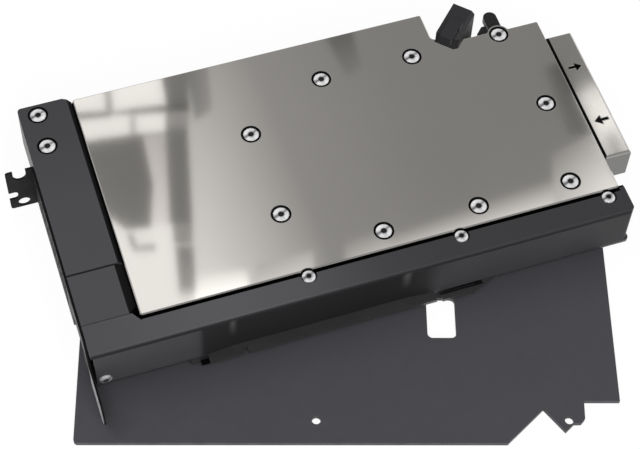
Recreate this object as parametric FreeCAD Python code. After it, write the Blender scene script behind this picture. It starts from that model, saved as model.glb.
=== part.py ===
"""Graphics card water block, with its card's board, bracket and connector, lying on its backplate.

All sizes are in millimetres. The block is drawn with the cover plate's lower left corner at
X = 0, Y = 0 and its polished top at Z = 0. X runs along the card, away from the bracket, Y runs
from the slot edge to the connector edge, and Z points out of the cover plate. At the end the
whole model moves so that its origin is the middle of the base it lies on. Screws are drawn as
their heads, each seated in its counterbore or on the face that it holds.
"""

import FreeCAD, Part
import math
import os

from FreeCAD import Vector

cut_through = 1.0

# Cover plate
plate_length = 192.3
plate_height = 103.0
plate_thick = 5.0
plate_edge_chamfer = 0.4
plate_corner_radius = 1.0
long_edge = 60.0
notch_length = 45.2
notch_depth = 13.6
notch_step = 3.6
notch_step_start = 9.0
notch_step_end = 12.5
notch_radius = 2.0
tab_radius = 4.6
chamber_screw_x = 62.9
chamber_screw_y = [26.9, 66.0]
upper_screw_x = 97.8
upper_screw_drop = 19.4
notch_screw_inset = 10.6
lower_screw_x = [98.0, 136.7]
lower_screw_y = 8.1
tab_screw_inset = 17.8
tab_screw_drop = 19.0
end_screw_inset = 12.3
end_screw_y = 45.8
low_screw_inset = 17.3

# Screw heads and their seats
recess_radius = 4.0
recess_depth = 2.2
head_radius = 3.3
head_height = 2.0

# Cold plate and what seals it
cold_thick = 8.5
pocket_depth = 6.0
pocket_radius = 3.0
pocket_wall = 2.2
gasket_width = 1.6
gasket_depth = 1.5
gasket_left = 69.0
gasket_low = 14.0
gasket_right_inset = 20.3
gasket_upper_inset = 25.0
gasket_radius = 2.5
divider_thick = 6.0
gpu_x = 93.0
gpu_y = 46.0
fin_field_length = 34.0
fin_field_width = 30.0
fin_count = 18
fin_thick = 0.8
fin_height = 3.6
fin_root = 0.2
jet_thick = 0.8
jet_slot = 2.0
jet_rim = 2.0
rail_reach = 6.4
rail_thick = 5.0
rail_before = 8.0
rail_after = 5.0
rail_lap = 1.0

# Terminal block and its ports
terminal_gap = 0.7
terminal_width = 10.6
terminal_low = 14.3
terminal_high = 76.4
terminal_drop = 0.5
terminal_thick = 14.9
terminal_chamfer = 0.8
port_radius = 5.9
port_seat_radius = 6.9
port_seat_depth = 0.4
port_y = [32.0, 59.6]
port_slot_height = 4.4
port_slot_width = 9.0
port_slot_drop = 0.8
port_slot_lap = 1.0
terminal_screw_y = [18.6, 45.8, 72.4]
terminal_recess_radius = 3.6
gasket_rim = 1.0
gasket_end_rim = 0.4
mark_depth = 0.3
mark_length = 6.0
mark_head = 4.4
mark_stem = 1.2

# Bracket
sheet = 0.86
bracket_reach = 22.95
bracket_high = 75.0
bracket_rise = 0.7
face_drop = 1.3
bracket_drop = 23.2
bracket_corner = 1.5
tab_depth = 11.43
tab_notch_radius = 2.55
tab_notch_inset = 5.47
tab_notch_depth = 5.55
tab_slot_width = 4.4
tab_slot_depth = 3.6
tab_slot_drop = 12.5
tab_slot_radius = 1.4
tab_hole_radius = 2.4
tab_hole_inset = 5.54
tab_hole_drop = 20.1
tab_corner = 1.2
lance_start = 16.0
lance_slope = 2.0
lance_end = 2.4
lance_height = 11.5
lance_lug_length = 11.0
lance_clearance = 0.3
tongue_end = 30.0
tongue_drop = 11.0
tongue_chamfer = 4.0
tongue_root = 8.0
tongue_radius = 3.0
lug_length = 9.0
lug_width = 8.0
lug_y = [33.0, 65.0]
lug_screw_inset = 3.5
lug_slot_gap = 0.4
vent_count = 9
vent_width = 2.6
vent_pitch = 5.2
vent_first = 24.0
vent_low = 17.6
vent_high = 3.4

# Covers round the plate
bracket_gap = 0.1
cover_gap = 0.5
upper_low = 24.6
upper_rise = 1.6
upper_bevel = 1.6
upper_corner = 1.6
upper_clip_x = 3.4
upper_clip_y = 1.6
lower_bevel = 3.2
bevel_drop = 1.5
seam_gap = 0.87
cover_top = 3.4
cover_wall = 1.6
left_screw_inset = 7.39
left_screw_drop = [3.4, 18.9]
post_width = 5.5
lower_boss_inset = 9.99
lower_boss_y = 13.0
boss_width = 6.0

# Bent cover along the slot edge
strip_low = 12.0
strip_high = 1.8
strip_overhang = 1.7
strip_wall = 2.0
strip_bend = 1.6
strip_joint = 0.25
strip_end_inset = 1.0
strip_lip = 1.5
strip_lip_drop = 3.0
strip_lip_width = 4.2
lower_seam = 2.0
strip_corner = 1.7
seam_corner_reach = 6.0
seam_corner_height = 9.0
relief_start = 20.0
relief_end = 115.5
relief_ramp = 12.0
relief_depth = 1.0
relief_top = 1.8
edge_screw_x = [64.5, 125.6]
edge_screw_inset = 5.9
edge_screw_drop = [2.4, 2.7, 3.0]
edge_notch_radius = 3.2
edge_notch_clearance = 0.2
edge_seat_radius = 3.1
edge_head_radius = 2.65
side_screw_inset = 4.29
side_screw_depth = 17.8
side_head_radius = 2.5
side_head_height = 1.2

# Circuit board
standoff_height = 7.9
board_thick = 1.6
board_left_inset = 0.3
board_overhang = 2.7
board_low = 11.7
board_upper_inset = 1.0
board_notch_inset = 1.9
board_notch_drop = 5.6
board_corner = 1.5
tongue_left = 21.8
tongue_right = 113.0
tongue_reach = 3.7
key_x = 35.0
key_width = 1.9
key_depth = 2.6
shoulder_left = 15.0
shoulder_width = 3.5
shoulder_reach = 1.9
hook_left = 115.0
hook_length = 22.0
hook_slope = 9.0
hook_reach = 4.3
hook_slot = 1.4
hook_slot_length = 15.5
hook_tip = 0.6
contact_inset = 0.5
contact_end_inset = 1.2
contact_length = 2.6
contact_thick = 0.05
contact_key_gap = 0.4

# Chips, from the board up to the cold plate
package_size = 42.0
package_height = 1.2
die_length = 28.0
die_width = 24.0
die_height = 0.8
die_pedestal_rim = 1.0
paste_thick = 0.1
memory_length = 14.0
memory_width = 12.0
memory_height = 1.2
memory_column = 33.0
memory_pitch = 17.0
memory_row = 33.0
memory_row_offset = 9.0
memory_pad = 1.0
pad_rim = 0.5
stage_length = 6.0
stage_width = 5.0
stage_height = 1.0
stage_pad = 1.2
left_phase_x = 34.0
left_phase_first = 20.0
left_phase_count = 7
right_phase_x = 148.0
right_phase_first = 14.0
right_phase_count = 7
phase_pitch = 9.0
choke_reach = 10.0
choke_size = 8.0
choke_height = 7.0
capacitor_length = 7.0
capacitor_width = 4.2
capacitor_height = 4.0
capacitor_reach = 20.5
capacitor_first = 27.0
capacitor_pitch = 10.0
capacitor_count = 5
rear_capacitor_length = 1.6
rear_capacitor_width = 0.9
rear_capacitor_height = 0.7
rear_grid = 5
rear_pitch = 3.2

# Spacers and the hexagon-headed screws from behind the board
standoff_width = 5.0
board_head_width = 5.0
board_head_height = 1.8
processor_hole_spacing = 48.0
near_post_x = 10.0
near_post_y = 10.0
inner_post_x = 48.0
inner_post_y = 62.0
upper_post_drop = 8.0
notch_post_inset = 8.1
low_post_y = 9.0
end_post_inset = 6.3
end_post_y = 18.0
end_post_drop = 27.0

# Power connector, standing in the plate's notch
connector_inset = 3.9
connector_drop = 0.5
connector_turn = 45.0
connector_length = 17.0
connector_left = 4.0
connector_right = 5.6
connector_top = 6.0
connector_bottom = 12.7
connector_chamfer = 1.6
connector_top_chamfer = 1.4
connector_clearance = 0.35
latch_start = 2.3
latch_end = 8.1
latch_step = 4.3
latch_left = 1.6
latch_right = 3.2
latch_wide = 4.2
latch_height = 2.0
latch_root = 0.6
latch_lip = 0.5
latch_lip_drop = 3.0
pin_rows = 6
pin_pitch = 3.0
cell_size = 2.3
cell_depth = 10.0
pin_size = 0.9
pin_length = 8.0
foot_start = 1.5
foot_end = 13.0
foot_left = 3.2
foot_right = 4.0
foot_lap = 0.5

# Arm beside the connector, clamped under the plate's tab
arm_thick = 3.0
arm_offset = 1.6
arm_half_width = 2.8
arm_reach = 15.7
arm_root_drop = 3.4
arm_root_before = 6.9
arm_root_after = 6.5
arm_root_lap = 1.5
arm_root_radius = 1.0
arm_start = 2.0
arm_lug_reach = 9.2
arm_lug_gap = 0.3
arm_lug_lap = 0.2
arm_lug_lean = 0.5
arm_lug_tip = 1.9
arm_lug_slope = 3.0
arm_clearance = 0.2
arm_pocket_lap = 4.0

# Backplate, taken off and lying flat under the block
backplate_thick = 2.0
backplate_before = 35.4
backplate_below = 30.7
backplate_turn = 17.54
backplate_length = 204.0
backplate_height = 118.0
backplate_corner_radius = 1.5
backplate_step = 17.5
backplate_ear = [(43.4, 0.0), (29.1, 14.3), (21.4, 4.9), (18.1, 8.2), (15.4, 8.3), (13.8, 10.2)]
backplate_step_inset = 13.6
backplate_hole = 1.7
backplate_left_hole_x = 89.6
backplate_left_hole_y = 9.4
backplate_ear_hole_inset = 19.8
backplate_ear_hole_y = 9.5
window_left = 132.7
window_length = 11.1
window_low = 44.4
window_height = 17.6
window_radius = 2.0

# Levels that follow from the thicknesses
plate_bottom = -plate_thick
cold_bottom = plate_bottom - cold_thick
board_top = cold_bottom - standoff_height
board_bottom = board_top - board_thick
table_top = board_bottom - board_head_height
pocket_floor = plate_bottom - pocket_depth
memory_face = board_top + memory_height + memory_pad
stage_face = board_top + stage_height + stage_pad
die_face = board_top + package_height + die_height + paste_thick
terminal_top = -terminal_drop
terminal_bottom = terminal_top - terminal_thick
terminal_middle = (terminal_top + terminal_bottom) / 2.0

# Edges and centres that follow from the sizes
notch_left = plate_length - notch_length
notch_floor_left = plate_height - notch_depth
notch_floor_right = notch_floor_left - notch_step
tab_x = plate_length - tab_screw_inset
tab_y = plate_height - tab_screw_drop
gasket_right = plate_length - gasket_right_inset
gasket_high = plate_height - gasket_upper_inset
bracket_face = -bracket_reach
bracket_inner = bracket_face + sheet
cover_left = bracket_inner + bracket_gap
cover_right = -cover_gap
upper_high = plate_height + upper_rise
left_screw_x = cover_left + left_screw_inset
side_screw_x = cover_left + side_screw_inset
lug_screw_x = bracket_inner + lug_length - lug_screw_inset
strip_right = plate_length + strip_overhang
board_left = cover_left + board_left_inset
board_right = plate_length + board_overhang
board_high = plate_height - board_upper_inset
connector_x = notch_left + connector_inset
connector_y = notch_floor_right - connector_drop

# Places of what repeats
plate_screw_points = (
    [(chamber_screw_x, y) for y in chamber_screw_y]
    + [(x, plate_height - upper_screw_drop) for x in (upper_screw_x, notch_left - notch_screw_inset)]
    + [(x, lower_screw_y) for x in lower_screw_x]
    + [(tab_x, tab_y), (plate_length - end_screw_inset, end_screw_y)]
    + [(plate_length - low_screw_inset, lower_screw_y)]
)
edge_screw_points = [
    (x, -drop) for x, drop in zip(edge_screw_x + [plate_length - edge_screw_inset], edge_screw_drop)
]
left_screw_points = [(left_screw_x, plate_height - drop) for drop in left_screw_drop]
lower_boss = (cover_left + lower_boss_inset, lower_boss_y)
phase_columns = [
    (left_phase_x, left_phase_x - choke_reach, left_phase_first, left_phase_count),
    (right_phase_x, right_phase_x + choke_reach, right_phase_first, right_phase_count),
]
standoff_points = [
    (gpu_x + i * processor_hole_spacing / 2.0, gpu_y + j * processor_hole_spacing / 2.0)
    for i in (-1, 1) for j in (-1, 1)
] + [
    (near_post_x, near_post_y), (near_post_x, plate_height - upper_post_drop),
    (inner_post_x, inner_post_y), (inner_post_x, plate_height - upper_post_drop),
    (notch_left - notch_post_inset, plate_height - upper_post_drop),
    (notch_left - notch_post_inset, low_post_y),
    (plate_length - end_post_inset, end_post_y),
    (plate_length - end_post_inset, plate_height - end_post_drop),
]


def box(x0, x1, y0, y1, z0, z1):
    """Block between two values on each axis, given in either order."""
    low = Vector(min(x0, x1), min(y0, y1), min(z0, z1))
    return Part.makeBox(abs(x1 - x0), abs(y1 - y0), abs(z1 - z0), low)


def post(x, y, z0, z1, radius):
    """Upright cylinder between two levels."""
    return Part.makeCylinder(radius, abs(z1 - z0), Vector(x, y, min(z0, z1)))


def bore(x, y, z, radius, length):
    """Cylinder that runs along the card from its start."""
    return Part.makeCylinder(radius, length, Vector(x, y, z), Vector(1, 0, 0))


def rounded_wire(corners):
    """Closed wire in the XY plane through corners (x, y) or (x, y, radius)."""
    points = [Vector(corner[0], corner[1], 0) for corner in corners]
    radii = [corner[2] if len(corner) > 2 else 0.0 for corner in corners]
    count = len(points)
    stops = []
    for i in range(count):
        here = points[i]
        to_last = (points[i - 1] - here).normalize()
        to_next = (points[(i + 1) % count] - here).normalize()
        if radii[i] <= 0:
            stops.append((here, None, here))
            continue
        half = to_last.getAngle(to_next) / 2.0
        reach = radii[i] / math.tan(half)
        inward = (to_last + to_next).normalize()
        middle = here + inward * (radii[i] / math.sin(half) - radii[i])
        stops.append((here + to_last * reach, middle, here + to_next * reach))
    edges = []
    for i in range(count):
        start, middle, end = stops[i]
        following = stops[(i + 1) % count][0]
        if middle is not None:
            edges.append(Part.Arc(start, middle, end).toShape())
        if (following - end).Length > 1e-6:
            edges.append(Part.LineSegment(end, following).toShape())
    return Part.Wire(edges)


def slab(corners, z0, z1):
    """Flat piece with the rounded outline, between two levels."""
    piece = Part.Face(rounded_wire(corners)).extrude(Vector(0, 0, abs(z1 - z0)))
    piece.translate(Vector(0, 0, min(z0, z1)))
    return piece


def oblong(x0, x1, y0, y1, radius, z0, z1):
    """Flat rectangular piece with four rounded corners."""
    return slab([(x0, y0, radius), (x1, y0, radius), (x1, y1, radius), (x0, y1, radius)], z0, z1)


def upright_sheet(corners, x0, x1):
    """Flat piece standing in the YZ plane, its outline given as (y, z, radius) corners."""
    piece = slab(corners, 0, x1 - x0)
    piece.rotate(Vector(0, 0, 0), Vector(1, 1, 1), 120)
    piece.translate(Vector(x0, 0, 0))
    return piece


def facing_sheet(corners, y0, y1):
    """Flat piece standing in the XZ plane, its outline given as (x, z, radius) corners."""
    piece = slab(corners, 0, y1 - y0)
    piece.rotate(Vector(0, 0, 0), Vector(1, 0, 0), 90)
    piece.translate(Vector(0, y1, 0))
    return piece


def hexagon(x, y, z0, z1, width):
    """Upright hexagonal prism, its width measured across the flats."""
    reach = width / math.sqrt(3)
    corners = [
        (x + reach * math.cos(math.radians(60 * k)), y + reach * math.sin(math.radians(60 * k)))
        for k in range(6)
    ]
    return slab(corners, z0, z1)


def join(pieces):
    """One solid from pieces that overlap or meet."""
    first, *rest = pieces
    return first.multiFuse(rest).removeSplitter() if rest else first


def cut(body, tools):
    """The body with every tool taken out of it."""
    return body.cut(Part.makeCompound(tools)) if tools else body


def copies(piece, places):
    """Compound of separate copies of one piece at the given places."""
    moved = []
    for place in places:
        one = piece.copy()
        one.translate(Vector(*place))
        moved.append(one)
    return Part.makeCompound(moved)


def block_on_board(x, y, across, along, low, height):
    """Plain chip or pad centred at a place."""
    return box(x - across / 2.0, x + across / 2.0, y - along / 2.0, y + along / 2.0, low, low + height)


def plate_outline():
    """Shared outline of the cover plate and the cold plate, with the connector's notch."""
    radius = plate_corner_radius
    return [
        (0, 0, radius), (plate_length, 0, radius), (plate_length, notch_floor_right, radius),
        (notch_left + notch_step_end, notch_floor_right),
        (notch_left + notch_step_start, notch_floor_left),
        (notch_left, notch_floor_left, notch_radius), (notch_left, plate_height, radius),
        (0, plate_height, radius),
    ]


def plate_blank(z0, z1):
    """Plate outline with the round tab about the notch screw and the connector's cut-out."""
    blank = slab(plate_outline(), z0, z1)
    tab = post(tab_x, tab_y, z0, z1, tab_radius)
    opening = connector_slab(
        connector_corners(connector_clearance), z0 - cut_through, z1 + cut_through
    )
    return cut(join([blank, tab]), [opening])


def gasket_outline(shift, z0, z1):
    """Slab inside the gasket's centre line, moved outwards."""
    return oblong(
        gasket_left - shift, gasket_right + shift, gasket_low - shift, gasket_high + shift,
        gasket_radius + shift, z0, z1,
    )


def gasket_ring(z0, z1):
    """Band that follows the gasket's centre line."""
    half = gasket_width / 2.0
    return gasket_outline(half, z0, z1).cut(gasket_outline(-half, z0 - cut_through, z1 + cut_through))


def cover_plate():
    """Polished top plate with counterbored screw seats, edge notches and the gasket's groove."""
    body = plate_blank(plate_bottom, 0)
    top_edges = [
        edge for edge in body.Edges
        if edge.BoundBox.ZMin > -0.01 and isinstance(edge.Curve, Part.Line)
        and edge.Length > long_edge
    ]
    body = body.makeChamfer(plate_edge_chamfer, top_edges)
    tools = [gasket_ring(plate_bottom, plate_bottom + gasket_depth)]
    for x, y in plate_screw_points:
        tools.append(post(x, y, -recess_depth, cut_through, recess_radius))
    for x, y in edge_screw_points:
        tools.append(post(x, y, plate_bottom - cut_through, cut_through,
                          edge_notch_radius + edge_notch_clearance))
    return cut(body, tools)


def chamber_gasket():
    """Seal in the cover plate's groove, squeezed on the cold plate."""
    return gasket_ring(plate_bottom, plate_bottom + gasket_depth)


def pocket():
    """Wet space milled into the cold plate, with a divider between the two flow paths."""
    inset = gasket_width / 2.0 + pocket_wall
    outer = oblong(
        gasket_left + inset, gasket_right - inset, gasket_low + inset, gasket_high - inset,
        pocket_radius, pocket_floor, plate_bottom + cut_through,
    )
    fin_right = gpu_x + fin_field_width / 2.0 + pocket_radius
    wall = box(
        fin_right, gasket_right, gpu_y - divider_thick / 2.0, gpu_y + divider_thick / 2.0,
        pocket_floor - cut_through, plate_bottom + 2 * cut_through,
    )
    return outer.cut(wall)


def pedestals():
    """Pads of metal that reach down to the processor, the memory and the power stages."""
    blocks = [
        block_on_board(gpu_x, gpu_y, die_length + 2 * die_pedestal_rim,
                       die_width + 2 * die_pedestal_rim, die_face, cold_bottom - die_face)
    ]
    for x, y, across, along in memory_places():
        blocks.append(block_on_board(x, y, across, along, memory_face, cold_bottom - memory_face))
    for x, _, first, count in phase_columns:
        span = phase_pitch * (count - 1)
        blocks.append(block_on_board(x, first + span / 2.0, stage_width, span + stage_length,
                                     stage_face, cold_bottom - stage_face))
    return blocks


def port_slot(y):
    """Flat passage from the terminal block into the pocket."""
    top = plate_bottom - port_slot_drop
    inner = gasket_right - gasket_width / 2.0 - pocket_wall - port_slot_lap
    half = port_slot_width / 2.0
    return box(inner, plate_length + cut_through, y - half, y + half, top - port_slot_height, top)


def cold_plate():
    """Nickel-plated base with the wet pocket, fins, chip pedestals and a rail for the cover."""
    body = plate_blank(cold_bottom, plate_bottom)
    rail = box(
        edge_screw_points[0][0] - rail_before, edge_screw_points[-1][0] + rail_after,
        -rail_reach, rail_lap, plate_bottom - rail_thick, plate_bottom,
    )
    body = join([body, rail] + pedestals())
    tools = [pocket()] + [port_slot(y) for y in port_y]
    tools.append(arm_root(arm_clearance, plate_bottom - arm_thick, plate_bottom + cut_through))
    body = cut(body, tools)
    pitch = fin_field_width / fin_count
    first = gpu_x - fin_field_width / 2.0 + pitch / 2.0
    fins = [
        block_on_board(first + pitch * k, gpu_y, fin_thick, fin_field_length,
                       pocket_floor - fin_root, fin_root + fin_height)
        for k in range(fin_count)
    ]
    return join([body] + fins)


def jet_plate():
    """Thin plate on the fins, with the slot that feeds their middle."""
    low = pocket_floor + fin_height
    plate = block_on_board(gpu_x, gpu_y, fin_field_width, fin_field_length, low, jet_thick)
    slot = block_on_board(gpu_x, gpu_y, fin_field_width - 2 * jet_rim, jet_slot,
                          low - cut_through, jet_thick + 2 * cut_through)
    return plate.cut(slot)


def flow_mark(y, outwards):
    """Engraved arrow beside a port, pointing out of the block or into it."""
    middle = plate_length + terminal_gap + terminal_width / 2.0
    tip = mark_length / 2.0 if outwards else -mark_length / 2.0
    floor = terminal_top - mark_depth
    head = [(middle + tip, y), (middle, y + mark_head / 2.0), (middle, y - mark_head / 2.0)]
    stem = box(middle - tip, middle, y - mark_stem / 2.0, y + mark_stem / 2.0,
               floor, terminal_top + cut_through)
    return join([slab(head, floor, terminal_top + cut_through), stem])


def terminal_block():
    """Port block bolted to the end of the plates."""
    inner = plate_length + terminal_gap
    outer = inner + terminal_width
    body = box(inner, outer, terminal_low, terminal_high, terminal_bottom, terminal_top)
    rims = [
        edge for edge in body.Edges
        if edge.BoundBox.ZMin > terminal_top - 0.01
        and (edge.BoundBox.XMin > outer - 0.01 or edge.BoundBox.YMax < terminal_low + 0.01)
    ]
    body = body.makeChamfer(terminal_chamfer, rims)
    tools = [flow_mark(port_y[1], True), flow_mark(port_y[0], False)]
    for y in port_y:
        tools.append(bore(inner - cut_through, y, terminal_middle, port_radius,
                          terminal_width + 2 * cut_through))
        tools.append(bore(outer - port_seat_depth, y, terminal_middle, port_seat_radius,
                          port_seat_depth + cut_through))
    for y in terminal_screw_y:
        tools.append(bore(outer - recess_depth, y, terminal_middle, terminal_recess_radius,
                          recess_depth + cut_through))
    return cut(body, tools)


def terminal_gasket():
    """Flat seal between the terminal block and the plates' end."""
    body = box(
        plate_length, plate_length + terminal_gap, terminal_low + gasket_rim,
        terminal_high - gasket_rim, cold_bottom + gasket_end_rim, terminal_top - gasket_rim,
    )
    return cut(body, [
        bore(plate_length - cut_through, y, terminal_middle, port_slot_width / 2.0,
             terminal_gap + 2 * cut_through)
        for y in port_y
    ])


def terminal_screws():
    """Screws that hold the terminal block to the cold plate."""
    one = Part.makeCylinder(head_radius, head_height)
    one.rotate(Vector(0, 0, 0), Vector(0, 1, 0), 90)
    seat = plate_length + terminal_gap + terminal_width - recess_depth
    return copies(one, [(seat, y, terminal_middle) for y in terminal_screw_y])


def cover_plate_screws():
    """Screws round the wet pocket, sunk in the cover plate."""
    one = Part.makeCylinder(head_radius, head_height)
    return copies(one, [(x, y, -recess_depth) for x, y in plate_screw_points])


def left_shell(corners, inner_corners, bevel):
    """Open-bottomed box left of the plate, with its plate-side top edge bevelled."""
    low = min(corner[1] for corner in corners) - cut_through
    high = max(corner[1] for corner in corners) + cut_through
    body = slab(corners, board_top, 0)
    beyond = cover_right + bevel
    wedge = facing_sheet(
        [(cover_right - bevel, 0), (cover_right - bevel, bevel), (beyond, bevel),
         (beyond, -2 * bevel_drop)],
        low, high,
    )
    hollow = slab(inner_corners, board_top - cut_through, -cover_top)
    return cut(body, [wedge, hollow])


def left_cover_upper():
    """Long cover over the bracket end of the board."""
    corners = [
        (cover_left, upper_low), (cover_right, upper_low), (cover_right, upper_high - upper_clip_y),
        (cover_right - upper_clip_x, upper_high), (cover_left, upper_high, upper_corner),
    ]
    left = cover_left + cover_wall
    right = cover_right - cover_wall
    inner = [
        (left, upper_low + cover_wall), (right, upper_low + cover_wall),
        (right, upper_high - upper_clip_y - cover_wall),
        (right - upper_clip_x, upper_high - cover_wall), (left, upper_high - cover_wall),
    ]
    body = left_shell(corners, inner, upper_bevel)
    tools = [post(x, y, -recess_depth, cut_through, recess_radius) for x, y in left_screw_points]
    half = lug_width / 2.0 + lug_slot_gap
    for y in lug_y:
        tools.append(box(cover_left - cut_through, left + cut_through, y - half, y + half,
                         board_top - cut_through, board_top + sheet + lug_slot_gap))
    return cut(body, tools)


def left_cover_lower():
    """Short cover below it, standing on its boss."""
    low = lower_seam
    high = upper_low - seam_gap
    bevel = lower_bevel
    corners = [
        (cover_left, low), (cover_right - bevel, low), (cover_right, low + bevel),
        (cover_right, high), (cover_left, high),
    ]
    left = cover_left + cover_wall
    right = cover_right - cover_wall
    inner = [
        (left, low + cover_wall), (right - bevel, low + cover_wall),
        (right, low + bevel + cover_wall), (right, high - cover_wall), (left, high - cover_wall),
    ]
    body = left_shell(corners, inner, bevel)
    boss = block_on_board(lower_boss[0], lower_boss[1], boss_width, boss_width, board_top,
                          -cover_top - board_top)
    return join([body, boss])


def left_cover_screws():
    """Two screws in the long left cover."""
    one = Part.makeCylinder(head_radius, head_height)
    return copies(one, [(x, y, -recess_depth) for x, y in left_screw_points])


def cover_posts():
    """Hexagonal posts from the board up to the long left cover."""
    return Part.makeCompound([hexagon(x, y, board_top, -cover_top, post_width)
                              for x, y in left_screw_points])


def bottom_cover():
    """Bent cover along the slot edge, with the slot's relief and seats for the edge screws."""
    face = -strip_low
    wall = face + strip_wall
    top_edge = -strip_high
    flange = -strip_wall
    profile = [
        (face, board_top), (face, 0, strip_bend), (top_edge, 0), (top_edge, -strip_lip_drop),
        (top_edge + strip_lip, -strip_lip_drop), (top_edge + strip_lip, plate_bottom),
        (top_edge - strip_lip_width, plate_bottom), (top_edge - strip_lip_width, flange),
        (wall, flange), (wall, board_top),
    ]
    body = upright_sheet(profile, 0, strip_right)
    end_edge = lower_seam - strip_joint
    left_end = upright_sheet(
        [(face, board_top), (face, 0, strip_bend), (end_edge, 0), (end_edge, flange),
         (wall, flange), (wall, board_top)],
        cover_left, 0,
    )
    clip = cover_right - lower_bevel
    seam_corner = slab(
        [(clip, lower_seam + cut_through), (cut_through, clip), (seam_corner_reach, top_edge),
         (seam_corner_reach, seam_corner_height), (clip, seam_corner_height)],
        plate_bottom - cut_through, cut_through,
    )
    left_end = left_end.cut(seam_corner)
    end_step = box(cover_left - cut_through, cover_left + strip_end_inset, face - cut_through,
                   wall + cut_through, board_top - cut_through, -strip_bend)
    left_end = left_end.cut(end_step)
    end_wall = box(strip_right - strip_wall, strip_right, face + strip_wall / 2.0,
                   top_edge + strip_lip, board_top, 0)
    seats = [post(x, y, plate_bottom, -recess_depth, edge_seat_radius)
             for x, y in edge_screw_points]
    body = join([body, left_end, end_wall] + seats)
    before = face - cut_through
    floor = face + relief_depth
    relief = slab(
        [(relief_start, before), (relief_start, face), (relief_start + relief_ramp, floor),
         (relief_end - relief_ramp, floor), (relief_end, face), (relief_end, before)],
        board_top - cut_through, -relief_top,
    )
    end_chamfer = slab(
        [(strip_right - strip_corner - cut_through, before), (strip_right + cut_through, before),
         (strip_right + cut_through, face + strip_corner + cut_through)],
        board_top - cut_through, cut_through,
    )
    tools = [relief, end_chamfer]
    tools += [post(x, y, -recess_depth, cut_through, edge_notch_radius) for x, y in edge_screw_points]
    return cut(body, tools)


def edge_screws():
    """Screws through the bottom cover into the cold plate's rail."""
    one = Part.makeCylinder(edge_head_radius, head_height)
    return copies(one, [(x, y, -recess_depth) for x, y in edge_screw_points])


def side_screw():
    """Screw through the bottom cover's side into the bracket's lanced lug."""
    one = Part.makeCylinder(side_head_radius, side_head_height)
    one.rotate(Vector(0, 0, 0), Vector(1, 0, 0), 90)
    one.translate(Vector(side_screw_x, -strip_low, -side_screw_depth))
    return one


def io_bracket():
    """Folded slot bracket: vented face, slotted top tab, tongue, two board lugs and a side lug."""
    low = -bracket_drop
    lance_top = low + lance_height
    tongue_top = -tongue_drop
    face_top = bracket_rise - face_drop
    face = upright_sheet(
        [(bracket_high + sheet, face_top), (bracket_high + sheet, low),
         (lance_start, low, bracket_corner), (lance_start - lance_slope, lance_top),
         (-lance_end, lance_top), (-lance_end, low), (-tongue_end + tongue_chamfer, low),
         (-tongue_end, low + tongue_chamfer), (-tongue_end, tongue_top - tongue_chamfer),
         (-tongue_end + tongue_chamfer, tongue_top), (-strip_low + lance_slope, tongue_top),
         (-strip_low + tongue_root, face_top, tongue_radius)],
        bracket_face, bracket_inner,
    )
    half = vent_width / 2.0
    vents = [
        box(bracket_face - cut_through, bracket_inner + cut_through, y - half, y + half,
            -vent_low, -vent_high)
        for y in (vent_first + vent_pitch * k for k in range(vent_count))
    ]
    face = cut(face, vents)
    outer = bracket_inner - tab_depth
    tab = facing_sheet(
        [(outer, bracket_rise, tab_corner), (bracket_inner, bracket_rise), (bracket_inner, low),
         (outer, low, tab_corner)],
        bracket_high, bracket_high + sheet,
    )
    across = Vector(0, 1, 0)
    start = bracket_high - cut_through
    length = sheet + 2 * cut_through
    notch_centre = outer + tab_notch_inset
    notch_bottom = bracket_rise - tab_notch_depth
    above = bracket_rise + cut_through
    tab = cut(tab, [
        facing_sheet(
            [(notch_centre - tab_notch_radius, above),
             (notch_centre - tab_notch_radius, notch_bottom, tab_notch_radius),
             (notch_centre + tab_notch_radius, notch_bottom, tab_notch_radius),
             (notch_centre + tab_notch_radius, above)],
            start, start + length,
        ),
        Part.makeCylinder(tab_hole_radius, length, Vector(outer + tab_hole_inset, start, -tab_hole_drop),
                          across),
        facing_sheet(
            [(outer - cut_through, -tab_slot_drop),
             (outer + tab_slot_depth, -tab_slot_drop, tab_slot_radius),
             (outer + tab_slot_depth, -tab_slot_drop - tab_slot_width, tab_slot_radius),
             (outer - cut_through, -tab_slot_drop - tab_slot_width)],
            start, start + length,
        ),
    ])
    lugs = [
        box(bracket_face, bracket_inner + lug_length, y - lug_width / 2.0, y + lug_width / 2.0,
            board_top, board_top + sheet)
        for y in lug_y
    ]
    side_lug = box(bracket_face, bracket_inner + lance_lug_length, -lance_end, -lance_end + sheet,
                   board_top + lance_clearance, lance_top)
    return join([face, tab, side_lug] + lugs)


def bracket_screws():
    """Screws from behind the board into the bracket's lugs."""
    return Part.makeCompound([
        hexagon(lug_screw_x, y, board_bottom - board_head_height, board_bottom, board_head_width)
        for y in lug_y
    ])


def board():
    """Circuit board with its slot tongue, retention hook and key notch."""
    low = -board_low
    tongue_low = low - tongue_reach
    key_top = tongue_low + key_depth
    shoulder_right = shoulder_left + shoulder_width
    hook_right = hook_left + hook_length
    hook_slot_end = hook_left + hook_slot_length
    notch_x = notch_left + board_notch_inset
    notch_floor = plate_height - board_notch_drop
    return slab(
        [
            (board_left, low, board_corner), (shoulder_left, low),
            (shoulder_left, low - shoulder_reach), (shoulder_right, low - shoulder_reach),
            (shoulder_right, low), (tongue_left, low), (tongue_left, tongue_low),
            (key_x, tongue_low), (key_x, key_top), (key_x + key_width, key_top),
            (key_x + key_width, tongue_low), (tongue_right, tongue_low), (tongue_right, low),
            (hook_slot_end, low), (hook_slot_end, low - hook_slot), (hook_left, low - hook_slot),
            (hook_left, low - hook_reach), (hook_right - hook_slope, low - hook_reach),
            (hook_right, low - hook_tip), (hook_right, low), (board_right, low, board_corner),
            (board_right, notch_floor, board_corner), (notch_x, notch_floor, board_corner),
            (notch_x, board_high), (board_left, board_high, board_corner),
        ],
        board_bottom, board_top,
    )


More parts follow.
